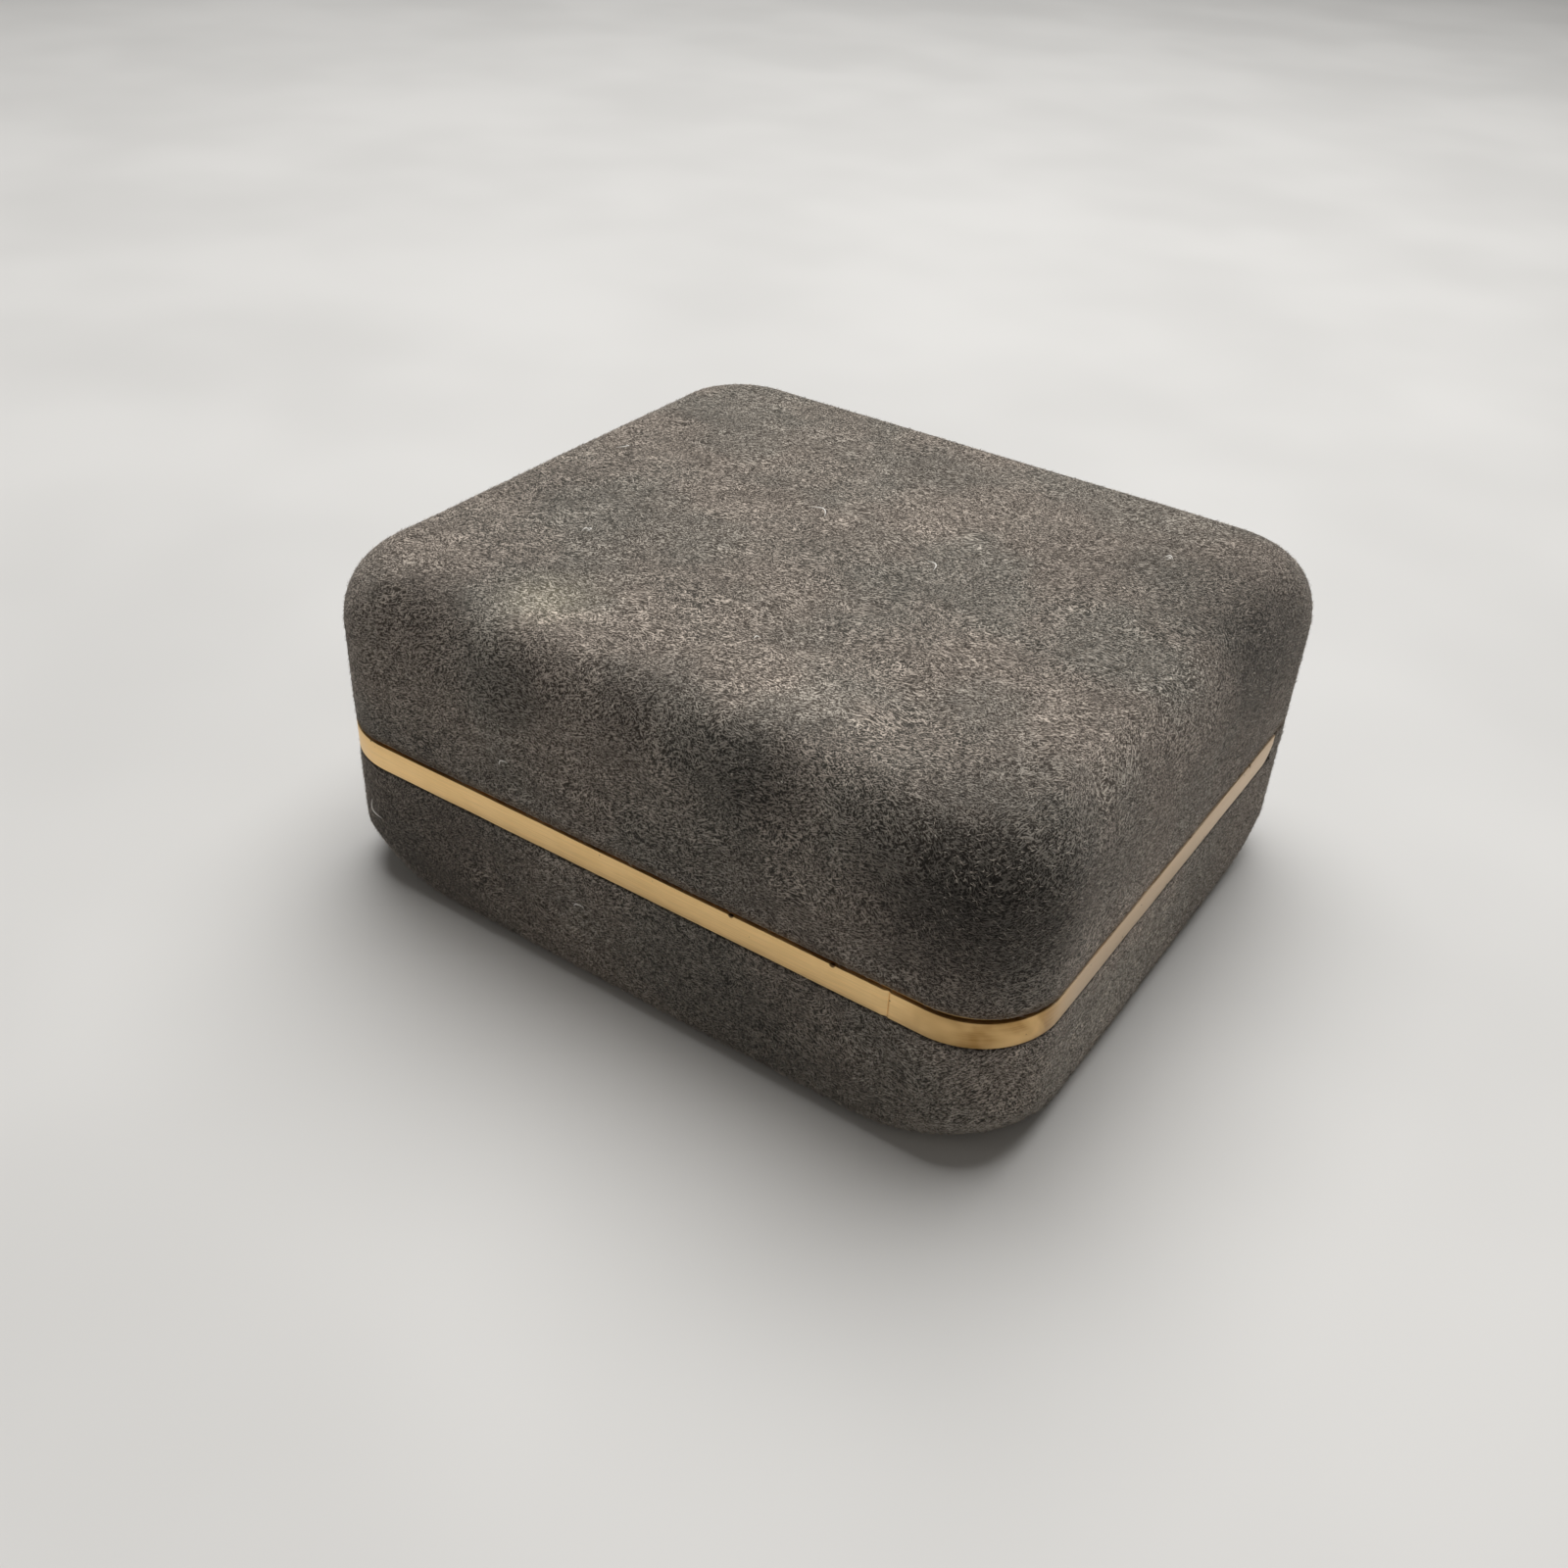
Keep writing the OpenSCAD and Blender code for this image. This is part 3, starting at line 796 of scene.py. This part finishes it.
def strokes(tree, vector, angle, long, wide, low, high):
    """Short lines, long by wide millimetres, lying at an angle on the nap map."""
    inputs = {"Vector": vector, "Rotation": (0, 0, math.radians(angle)), "Scale": (long, wide, 1)}
    turned = add(tree, "Mapping", inputs, vector_type="TEXTURE").outputs[0]
    inputs = {"Vector": turned, "Scale": 1.0, "Detail": 1.5, "Roughness": 0.6}
    lines = add(tree, "TexNoise", inputs).outputs[0]
    return remap(tree, lines, low, high)


# Lighter and darker places on the suede, partly nap brushed another way and mostly painted light and shade:
# painted highlights on the top near the front; painted shade along the lid's front edge, at the front
# corners, on the right side and right rear of the lid and on the front of the base; painted light on the
# right side of the base. x, y, z and reach in millimetres, then how much lighter or darker it is there, as a
# share
BRUSHED_AND_PAINTED_SHADE = [
    (-13.6, -26.0, 33.0, 8.5, 0.52),
    (11.0, -24.5, 33.4, 9.5, 0.52),
    (-29.8, -7.6, 33.0, 8.0, -0.24),
    (-24.0, -30.0, 32.2, 9.0, -0.44),
    (-12.0, -32.0, 30.5, 8.0, -0.46),
    (-1.0, -30.5, 31.0, 8.0, -0.42),
    (12.0, -31.6, 31.0, 10.0, -0.6),
    (31.0, -30.0, 27.0, 15.0, -0.84),
    (-36.0, -28.0, 29.0, 10.0, -0.3),
    (36.0, 17.0, 31.0, 17.0, -0.56),
    (36.5, 6.0, 29.0, 12.0, -0.16),
    (35.8, 10.0, 31.8, 8.0, -0.42),
    (26.0, 10.0, 33.6, 12.0, -0.14),
    (20.0, 17.0, 33.6, 9.0, -0.16),
    (4.0, 8.0, 33.6, 14.0, 0.1),
    (-26.0, -32.4, 25.0, 16.0, 0.16),
    (-26.0, -32.4, 7.0, 25.0, -0.56),
    (12.0, -32.4, 6.0, 26.0, -0.38),
    (37.4, -12.0, 7.0, 22.0, 0.62),
]
# A slightly yellowed place on the top, in millimetres
YELLOWED = (-15.0, -24.0, 33.0)


def suede_material(name, brushed=True):
    material, tree, shader = new_material(name)
    at = place_mm(tree)
    if brushed:
        nap = add(tree, "UVMap", uv_map="nap").outputs[0]
    else:
        nap = at
    drift = add(tree, "TexNoise", {"Vector": nap, "Scale": 0.16, "Detail": 1.0}).outputs["Color"]
    drift = add(tree, "VectorMath", {0: drift, "Scale": 3.6}, operation="SCALE").outputs[0]
    flow = add(tree, "VectorMath", {0: nap, 1: drift}, operation="ADD").outputs[0]
    first = strokes(tree, flow, 20, 0.44, 0.115, 0.5, 0.655)
    second = strokes(tree, flow, -35, 0.39, 0.11, 0.535, 0.68)
    third = strokes(tree, flow, 75, 0.33, 0.11, 0.555, 0.7)
    light = maths(tree, "MAXIMUM", first, maths(tree, "MAXIMUM", second, third))
    patches = remap(tree, cloud(tree, at, 14, 2), 0.42, 0.6)
    dark = mix(tree, patches, (0.06, 0.049, 0.04, 1), (0.046, 0.043, 0.036, 1))
    patches = remap(tree, cloud(tree, at, 12, 2), 0.42, 0.6)
    pale = mix(tree, patches, (0.55, 0.477, 0.412, 1), (0.475, 0.435, 0.38, 1))
    colour = mix(tree, light, dark, pale)
    shade = remap(tree, cloud(tree, at, 8, 3, 0.55, 0.4), 0.3, 0.7, 0.9, 1.1)
    mottle = remap(tree, cloud(tree, nap, 1.5, 2), 0.3, 0.7, 0.84, 1.16)
    shade = maths(tree, "MULTIPLY", shade, mottle)
    if brushed:
        # Painted light and shade, with some brushed nap, at the listed places
        for x, y, z, reach, gain in BRUSHED_AND_PAINTED_SHADE:
            far = distance(tree, at, (x, y, z))
            shade = maths(tree, "MULTIPLY", shade, remap(tree, far, 0.0, reach, 1 + gain, 1.0))
    split = add(tree, "SeparateXYZ", {0: at})
    depth, height = split.outputs[1], split.outputs[2]
    # Painted shade in the seam: the suede turns dark brown within 1 mm of the height of the lid's lower edge
    from_hem = maths(tree, "ABSOLUTE", maths(tree, "SUBTRACT", height, LID_EDGE))
    seam_shade = remap(tree, from_hem, 0.0, 1.0, 0.6, 0.0)
    colour = mix(tree, seam_shade, colour, (0.12, 0.07, 0.03, 1))
    # Painted shade under the band: the suede darkened to 0.35 within 0.5 mm of the band's lower edge height,
    # except behind the band's ends
    under_band = maths(tree, "ABSOLUTE", maths(tree, "SUBTRACT", height, BAND_BOTTOM))
    past_band = remap(tree, depth, BAND_END - 0.5, BAND_END + 0.2)
    shade_under_band = maths(tree, "MAXIMUM", remap(tree, under_band, 0.0, 0.5, 0.35, 1.0), past_band)
    shade = maths(tree, "MULTIPLY", shade, shade_under_band)
    if brushed:
        far = distance(tree, at, YELLOWED)
        colour = mix(tree, remap(tree, far, 1.0, 7.0, 0.14, 0.0), colour, (0.3, 0.26, 0.15, 1))
    grey = add(tree, "CombineColor", {0: shade, 1: shade, 2: shade}).outputs[0]
    colour = mix(tree, 1.0, colour, grey, "MULTIPLY")
    tree.links.new(colour, shader.inputs["Base Color"])
    shader.inputs["Roughness"].default_value = 0.92
    shader.inputs["Specular IOR Level"].default_value = 0.25
    shader.inputs["Sheen Weight"].default_value = 0.28
    shader.inputs["Sheen Roughness"].default_value = 0.4
    shader.inputs["Sheen Tint"].default_value = (0.8, 0.74, 0.68, 1)
    soft = bump(tree, cloud(tree, nap, 0.9, 2), 0.35, 0.12)
    tree.links.new(bump(tree, light, 0.7, 0.09, soft), shader.inputs["Normal"])
    return material


def plain_fibre(name, colour):
    material, _, shader = new_material(name)
    shader.inputs["Base Color"].default_value = (*colour, 1)
    shader.inputs["Roughness"].default_value = 0.85
    shader.inputs["Specular IOR Level"].default_value = 0.3
    shader.inputs["Sheen Weight"].default_value = 0.2
    shader.inputs["Sheen Roughness"].default_value = 0.4
    return material


def metal_material(name, pale, deep, roughness, cloud_size=6.0, grain=0.05, grain_mm=0.02):
    """Metal with cloudy stains, fine brushed grain and specks."""
    material, tree, shader = new_material(name)
    at = place_mm(tree)
    stain = remap(tree, cloud(tree, at, cloud_size, 3, 0.55, 0.8), 0.35, 0.72)
    speck = remap(tree, cloud(tree, at, 0.5, 1), 0.74, 0.8)
    colour = mix(tree, stain, (*pale, 1), (*deep, 1))
    colour = mix(tree, speck, colour, tuple(0.25 * c for c in deep) + (1,))
    tree.links.new(colour, shader.inputs["Base Color"])
    shader.inputs["Metallic"].default_value = 1.0
    lines = add(tree, "Mapping", {"Vector": at, "Scale": (3.0, 3.0, 0.12)}, vector_type="TEXTURE").outputs[0]
    fine = add(tree, "TexNoise", {"Vector": lines, "Scale": 1.0, "Detail": 3.0}).outputs[0]
    rough = remap(tree, fine, 0.3, 0.7, roughness - 0.06, roughness + 0.1)
    tree.links.new(rough, shader.inputs["Roughness"])
    tree.links.new(bump(tree, fine, grain, grain_mm), shader.inputs["Normal"])
    return material


# Specks of dirt on the band: x, y, z and size in millimetres
BAND_MARKS = [
    (11.0, -32.4, 16.45, 0.34),
    (21.0, -32.4, 16.45, 0.36),
    (26.3, -32.4, 15.9, 0.12),
    (26.45, -32.4, 15.6, 0.1),
    (37.5, 16.0, 16.3, 0.28),
    (-31.0, -32.4, 16.35, 0.26),
    (37.5, -3.0, 13.8, 0.26),
]


def band_material():
    """Satin gold, with a painted dark olive reflection round the front right corner and a painted dim, rosier
    reflection on the sides.
    """
    material, tree, shader = new_material("satin_gold")
    at = place_mm(tree)
    gold, dark_reflection = (1.0, 0.71, 0.35, 1), (0.33, 0.18, 0.05, 1)
    dim_side_reflection = (0.6, 0.485, 0.375, 1)
    clouds = remap(tree, cloud(tree, at, 5.0, 3, 0.55, 0.8), 0.3, 0.75, 0.0, 0.35)
    colour = mix(tree, clouds, gold, (0.86, 0.58, 0.25, 1))
    # Painted dark reflection: olive-brown clouds round the front right corner of the band
    corner = (HALF_W - 2.4, -HALF_D + 2.4, SEAM - 1)
    far = distance(tree, at, corner)
    patchy = remap(tree, cloud(tree, at, 3.5, 2, 0.5, 0.6), 0.25, 0.7, 0.35, 1.0)
    dark_reflection_share = maths(tree, "MULTIPLY", remap(tree, far, 3.0, 9.5, 0.95, 0.0), patchy)
    colour = mix(tree, dark_reflection_share, colour, dark_reflection)
    # Painted dim reflection on the band's sides: a dull rosy beige that fades in behind the front corners
    split = add(tree, "SeparateXYZ", {0: at})
    across = maths(tree, "ABSOLUTE", split.outputs[0])
    side = remap(tree, across, HALF_W - 0.7, HALF_W - 0.05, 0.0, 0.85)
    back = remap(tree, split.outputs[1], -HALF_D + 3, -HALF_D + 12)
    colour = mix(tree, maths(tree, "MULTIPLY", side, back), colour, dim_side_reflection)
    speck = remap(tree, cloud(tree, at, 0.45, 1), 0.76, 0.82)
    for x, y, z, size in BAND_MARKS:
        off = distance(tree, at, (x, y, z))
        speck = maths(tree, "MAXIMUM", speck, remap(tree, off, size * 0.6, size, 1.0, 0.0))
    colour = mix(tree, speck, colour, (0.08, 0.05, 0.03, 1))
    lines = add(tree, "Mapping", {"Vector": at, "Scale": (4.0, 4.0, 0.12)}, vector_type="TEXTURE").outputs[0]
    fine = add(tree, "TexNoise", {"Vector": lines, "Scale": 1.0, "Detail": 3.0}).outputs[0]
    colour = mix(tree, remap(tree, fine, 0.35, 0.65, 0.3, 0.0), colour, (0.6, 0.38, 0.16, 1))
    tree.links.new(colour, shader.inputs["Base Color"])
    shader.inputs["Metallic"].default_value = 1.0
    tree.links.new(remap(tree, fine, 0.3, 0.7, 0.34, 0.52), shader.inputs["Roughness"])
    soft = bump(tree, cloud(tree, at, 3.0, 2), 0.5, 0.1)
    tree.links.new(bump(tree, fine, 0.25, 0.02, soft), shader.inputs["Normal"])
    return material


def velvet_material(name, pale, deep, pile=0.35):
    material, tree, shader = new_material(name)
    at = place_mm(tree)
    brushed = remap(tree, cloud(tree, at, 7, 3, 0.5, 0.8), 0.35, 0.65)
    fine = cloud(tree, at, 0.22, 2, 0.6)
    colour = mix(tree, brushed, (*deep, 1), (*pale, 1))
    colour = mix(tree, remap(tree, fine, 0.35, 0.65, 0.5, 0.0), colour, tuple(0.5 * c for c in deep) + (1,))
    tree.links.new(colour, shader.inputs["Base Color"])
    shader.inputs["Roughness"].default_value = 0.9
    shader.inputs["Sheen Weight"].default_value = 0.6
    shader.inputs["Sheen Roughness"].default_value = 0.35
    shader.inputs["Sheen Tint"].default_value = (*pale, 1)
    tree.links.new(bump(tree, fine, pile, 0.08), shader.inputs["Normal"])
    return material


def satin_material(name, pale, deep):
    """Satin: fine twill lines, soft gloss and a slight creasing."""
    material, tree, shader = new_material(name)
    at = place_mm(tree)
    creased = cloud(tree, at, 5, 3, 0.5, 1.2)
    inputs = {"Vector": at, "Rotation": (0, 0, math.radians(38)), "Scale": (0.9, 0.14, 0.14)}
    twill = add(tree, "Mapping", inputs, vector_type="TEXTURE").outputs[0]
    threads = add(tree, "TexNoise", {"Vector": twill, "Scale": 1.0, "Detail": 1.0}).outputs[0]
    colour = mix(tree, remap(tree, creased, 0.35, 0.65), (*pale, 1), (*deep, 1))
    gaps = tuple(0.6 * c for c in deep) + (1,)
    colour = mix(tree, remap(tree, threads, 0.35, 0.65, 0.35, 0.0), colour, gaps)
    tree.links.new(colour, shader.inputs["Base Color"])
    tree.links.new(remap(tree, threads, 0.3, 0.7, 0.32, 0.46), shader.inputs["Roughness"])
    shader.inputs["Anisotropic"].default_value = 0.5
    shader.inputs["Sheen Weight"].default_value = 0.25
    shader.inputs["Sheen Roughness"].default_value = 0.3
    soft = bump(tree, creased, 0.4, 0.25)
    tree.links.new(bump(tree, threads, 0.25, 0.03, soft), shader.inputs["Normal"])
    return material


def rough_material(name, pale, deep, size, roughness, depth_mm):
    """Card, foam and wadding: a broken-up surface of two tones."""
    material, tree, shader = new_material(name)
    at = place_mm(tree)
    grain = cloud(tree, at, size, 4, 0.65)
    colour = mix(tree, remap(tree, grain, 0.35, 0.65), (*deep, 1), (*pale, 1))
    tree.links.new(colour, shader.inputs["Base Color"])
    shader.inputs["Roughness"].default_value = roughness
    tree.links.new(bump(tree, grain, 0.5, depth_mm), shader.inputs["Normal"])
    return material


def dress(obj, material):
    obj.data.materials.clear()
    obj.data.materials.append(material)


def dress_cad(node, material, bevel_mm=0.0):
    """A carried-over CAD node: its material, soft edges and smooth shading."""
    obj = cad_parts[node]
    dress(obj, material)
    if bevel_mm:
        bevel = obj.modifiers.new("soft_edges", "BEVEL")
        bevel.width = bevel_mm * MM
        bevel.segments = 2
        bevel.limit_method = "ANGLE"
        bevel.angle_limit = math.radians(40)
        bevel.harden_normals = True
    obj.data.polygons.foreach_set("use_smooth", [True] * len(obj.data.polygons))
    obj.data.set_sharp_from_angle(angle=math.radians(38))


# ---------------------------------------------------------------- building
lid_suede, lid_grid = make_lid_suede()
base_suede, base_grid = make_base_suede()
panel = make_panel()
band = make_band()
make_linings()
platform = make_platform()
front_roll = make_roll("plush_roll_front", "ring_roll_front")
rear_roll = make_roll("plush_roll_rear", "ring_roll_rear")
foam = make_block("foam_filling", "foam_block", "base", 0.6)
wadding = make_block("lid_wadding_soft", "lid_wadding", "lid", 0.7)
cushion = make_pad()

fill_padding()

suede = suede_material("suede")
tones = [
    plain_fibre("fibre_pale", (0.48, 0.425, 0.365)),
    plain_fibre("fibre_mid", (0.25, 0.215, 0.183)),
    plain_fibre("fibre_dark", (0.03, 0.026, 0.022)),
    plain_fibre("fibre_light", (0.7, 0.64, 0.56)),
]
fibres(
    "lid_nap", lid_grid, LID_FIBRES, "lid", tones,
    lambda tip: tip[:, 2] > np.where(tip[:, 1] < HINGE_Y - NOTCH_START, SEAM + 0.05, lid_edge(tip) + 0.4),
)
fibres(
    "base_nap", base_grid, BASE_FIBRES, "base", tones,
    lambda tip: (tip[:, 2] > 0.1) & (tip[:, 2] < base_top(tip) - np.where(tip[:, 1] < BAND_END, 0.02, 0.4)),
)

lint = plain_fibre("lint", (0.92, 0.9, 0.86))
make_strays("lid", lint)
make_strays("base", lint)

dress(lid_suede, suede)
dress(base_suede, suede)
dress(panel, suede_material("suede_card", brushed=False))
dress(band, band_material())
satin = satin_material("ivory_satin", (0.76, 0.71, 0.62), (0.7, 0.645, 0.55))
dress(bpy.data.objects["base_lining_satin"], satin)
dress(bpy.data.objects["lid_lining_satin"], satin)
dress(cushion, satin_material("cushion_satin", (0.82, 0.77, 0.68), (0.77, 0.715, 0.62)))
velvet = velvet_material("velvet", (0.62, 0.56, 0.48), (0.5, 0.445, 0.375))
dress(platform, velvet)
roll_velvet = velvet_material("roll_velvet", (0.66, 0.6, 0.52), (0.54, 0.48, 0.41), 0.5)
dress(front_roll, roll_velvet)
dress(rear_roll, roll_velvet)
dress(foam, rough_material("foam", (0.75, 0.66, 0.42), (0.5, 0.42, 0.24), 0.5, 0.95, 0.15))
dress(wadding, rough_material("wadding", (0.8, 0.79, 0.76), (0.6, 0.59, 0.56), 0.8, 0.95, 0.3))

card = rough_material("card", (0.5, 0.4, 0.28), (0.34, 0.26, 0.17), 0.6, 0.8, 0.05)
steel = metal_material("pressed_steel", (0.5, 0.5, 0.5), (0.24, 0.22, 0.2), 0.4)
brass = metal_material("hinge_brass", (0.78, 0.56, 0.27), (0.5, 0.33, 0.14), 0.3)
dress_cad("base_shell", steel)
dress_cad("lid_shell", steel)
dress_cad("insert_board", card, 0.1)
dress_cad("lid_pad_board", card, 0.1)
dress_cad("lid_rim", metal_material("rim_gold", (0.62, 0.42, 0.17), (0.34, 0.21, 0.08), 0.34, 5.0), 0.05)
dress_cad("hinge_base_leaf", brass, 0.08)
dress_cad("hinge_lid_leaf", brass, 0.08)
dress_cad("hinge_pin", metal_material("pin_steel", (0.6, 0.6, 0.6), (0.35, 0.33, 0.3), 0.25), 0.08)
dress_cad("snap_spring", metal_material("spring_steel", (0.45, 0.47, 0.52), (0.25, 0.25, 0.3), 0.28), 0.05)
rivet_brass = metal_material("rivet_brass", (0.85, 0.62, 0.3), (0.55, 0.37, 0.16), 0.25)
dress_cad("base_rivets", rivet_brass, 0.08)
dress_cad("lid_rivets", rivet_brass, 0.08)


# ---------------------------------------------------------------- stage, light, camera
def make_floor():
    size = 2.4
    mesh = bpy.data.meshes.new("floor")
    verts = [(-size, -size, 0), (size, -size, 0), (size, size, 0), (-size, size, 0)]
    mesh.from_pydata(verts, [], [(0, 1, 2, 3)])
    floor = bpy.data.objects.new("floor", mesh)
    bpy.context.scene.collection.objects.link(floor)
    material, tree, shader = new_material("floor_pale")
    at = place_mm(tree)
    shade = remap(tree, cloud(tree, at, 60, 2), 0.3, 0.7)
    colour = mix(tree, shade, (0.625, 0.622, 0.615, 1), (0.68, 0.677, 0.67, 1))
    tree.links.new(colour, shader.inputs["Base Color"])
    shader.inputs["Roughness"].default_value = 0.6
    dress(floor, material)


def area_light(name, place, aim, size, power, colour=(1, 1, 1)):
    data = bpy.data.lights.new(name, "AREA")
    data.shape = "DISK"
    data.size = size
    data.energy = power
    data.color = colour
    light = bpy.data.objects.new(name, data)
    bpy.context.scene.collection.objects.link(light)
    light.location = place
    light.rotation_euler = (Vector(aim) - Vector(place)).to_track_quat("-Z", "Y").to_euler()


def make_lights():
    centre = (0, 0, 0.02)
    area_light("key_above", (-0.08, 0.21, 0.62), centre, 0.7, 5.6, (1.0, 0.99, 0.97))
    area_light("fill_right", (0.6, -0.05, 0.3), centre, 0.4, 0.2, (1.0, 0.9, 0.78))
    area_light("fill_front", (-0.35, -0.55, 0.3), centre, 0.5, 0.32, (1.0, 0.91, 0.8))
    world = bpy.data.worlds.new("studio")
    world.use_nodes = True
    background = world.node_tree.nodes["Background"]
    background.inputs["Color"].default_value = (1.0, 0.975, 0.94, 1)
    background.inputs["Strength"].default_value = 0.1
    bpy.context.scene.world = world


def make_camera():
    """Camera looking down on the front and right side: angles in degrees, lengths in millimetres."""
    azimuth, elevation, roll = (math.radians(v) for v in (32.69, 35.21, 3.06))
    target = Vector((9.12, -22.37, 23.3))
    away = 135.28
    back = Vector((
        math.sin(azimuth) * math.cos(elevation),
        -math.cos(azimuth) * math.cos(elevation),
        math.sin(elevation),
    ))
    right = (-back).cross(Vector((0, 0, 1))).normalized()
    up = right.cross(-back)
    turned = right * math.cos(roll) + up * math.sin(roll)
    upright = up * math.cos(roll) - right * math.sin(roll)
    data = bpy.data.cameras.new("camera")
    data.sensor_width = 36
    data.lens = 36.63
    data.clip_start = 0.005
    camera = bpy.data.objects.new("camera", data)
    bpy.context.scene.collection.objects.link(camera)
    turn = Matrix((turned, upright, back)).transposed()
    camera.matrix_world = Matrix.Translation((target + back * away) * MM) @ turn.to_4x4()
    bpy.context.scene.camera = camera


make_floor()
make_lights()
make_camera()
bpy.context.scene.view_settings.view_transform = "Standard"
